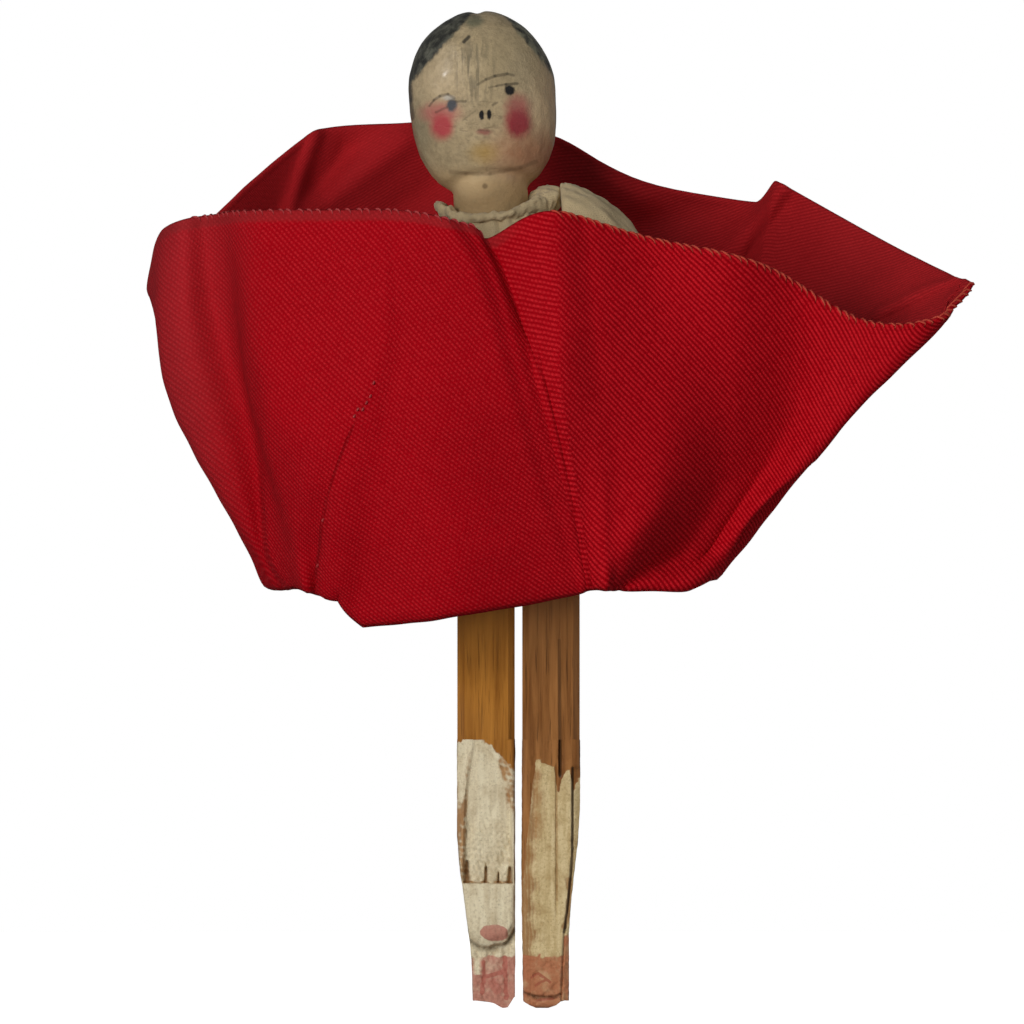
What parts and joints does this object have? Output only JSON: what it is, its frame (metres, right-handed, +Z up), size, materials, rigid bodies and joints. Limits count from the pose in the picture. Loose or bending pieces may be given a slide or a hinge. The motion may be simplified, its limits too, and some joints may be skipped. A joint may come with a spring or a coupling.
{
  "type": "dutch doll",
  "caption": "Peg-jointed wooden doll with a painted round head, stick limbs, a white cotton chemise and a long red twill skirt turned up round her like a bowl.",
  "frame": {"origin": "middle of the bounding box on the floor under the soles", "axes": "+Z up along the doll, -Y the way she faces, +X her left"},
  "size_m": [0.1258, 0.0808, 0.1518],
  "materials": {
    "flesh_paint": "satin",
    "bare_wood": "matte",
    "white_paint": "satin",
    "red_twill": "matte",
    "cotton": "matte"
  },
  "bodies": {
    "torso": {"head_and_torso": "flesh_paint", "hip_dowel": "bare_wood", "shoulder_peg_left": "bare_wood", "shoulder_peg_right": "bare_wood", "chemise_bodice": "cotton", "neck_frill": "cotton", "skirt_waistband": "red_twill", "skirt": "red_twill"},
    "left_upper_arm": {"upper_arm_left": "bare_wood", "elbow_peg_left": "bare_wood", "sleeve_left": "cotton"},
    "left_forearm": {"forearm_left": "bare_wood"},
    "left_thigh": {"thigh_left": "bare_wood", "knee_peg_left": "bare_wood"},
    "left_lower_leg": {"lower_leg_left": "white_paint"},
    "right_upper_arm": {"upper_arm_right": "bare_wood", "elbow_peg_right": "bare_wood", "sleeve_right": "cotton"},
    "right_forearm": {"forearm_right": "bare_wood"},
    "right_thigh": {"thigh_right": "bare_wood", "knee_peg_right": "bare_wood"},
    "right_lower_leg": {"lower_leg_right": "white_paint"}
  },
  "joints": [
    {"name": "left_shoulder", "type": "hinge", "parent": "torso", "child": "left_upper_arm", "pos_m": [0.00383, 0.00371, 0.11454], "axis": [-0.9962, 0, -0.0872], "range_deg": [-15, 100]},
    {"name": "left_elbow", "type": "hinge", "parent": "left_upper_arm", "child": "left_forearm", "pos_m": [0.00539, 0.00121, 0.09678], "axis": [-0.9962, 0, -0.0872], "range_deg": [-12, 20]},
    {"name": "left_hip", "type": "hinge", "parent": "torso", "child": "left_thigh", "pos_m": [-0.0014, 0.00371, 0.0755], "axis": [-1, 0, 0], "range_deg": [-30, 50]},
    {"name": "left_knee", "type": "hinge", "parent": "left_thigh", "child": "left_lower_leg", "pos_m": [-0.0014, 0.00371, 0.0436], "axis": [1, 0, 0], "range_deg": [0, 95]},
    {"name": "right_shoulder", "type": "hinge", "parent": "torso", "child": "right_upper_arm", "pos_m": [-0.02316, 0.00371, 0.11217], "axis": [-0.9962, 0, -0.0872], "range_deg": [-15, 100]},
    {"name": "right_elbow", "type": "hinge", "parent": "right_upper_arm", "child": "right_forearm", "pos_m": [-0.02161, 0.00121, 0.09442], "axis": [-0.9962, 0, -0.0872], "range_deg": [-12, 20]},
    {"name": "right_hip", "type": "hinge", "parent": "torso", "child": "right_thigh", "pos_m": [-0.0113, 0.00371, 0.0755], "axis": [-1, 0, 0], "range_deg": [-30, 50]},
    {"name": "right_knee", "type": "hinge", "parent": "right_thigh", "child": "right_lower_leg", "pos_m": [-0.0113, 0.00371, 0.0436], "axis": [1, 0, 0], "range_deg": [0, 95]}
  ]
}
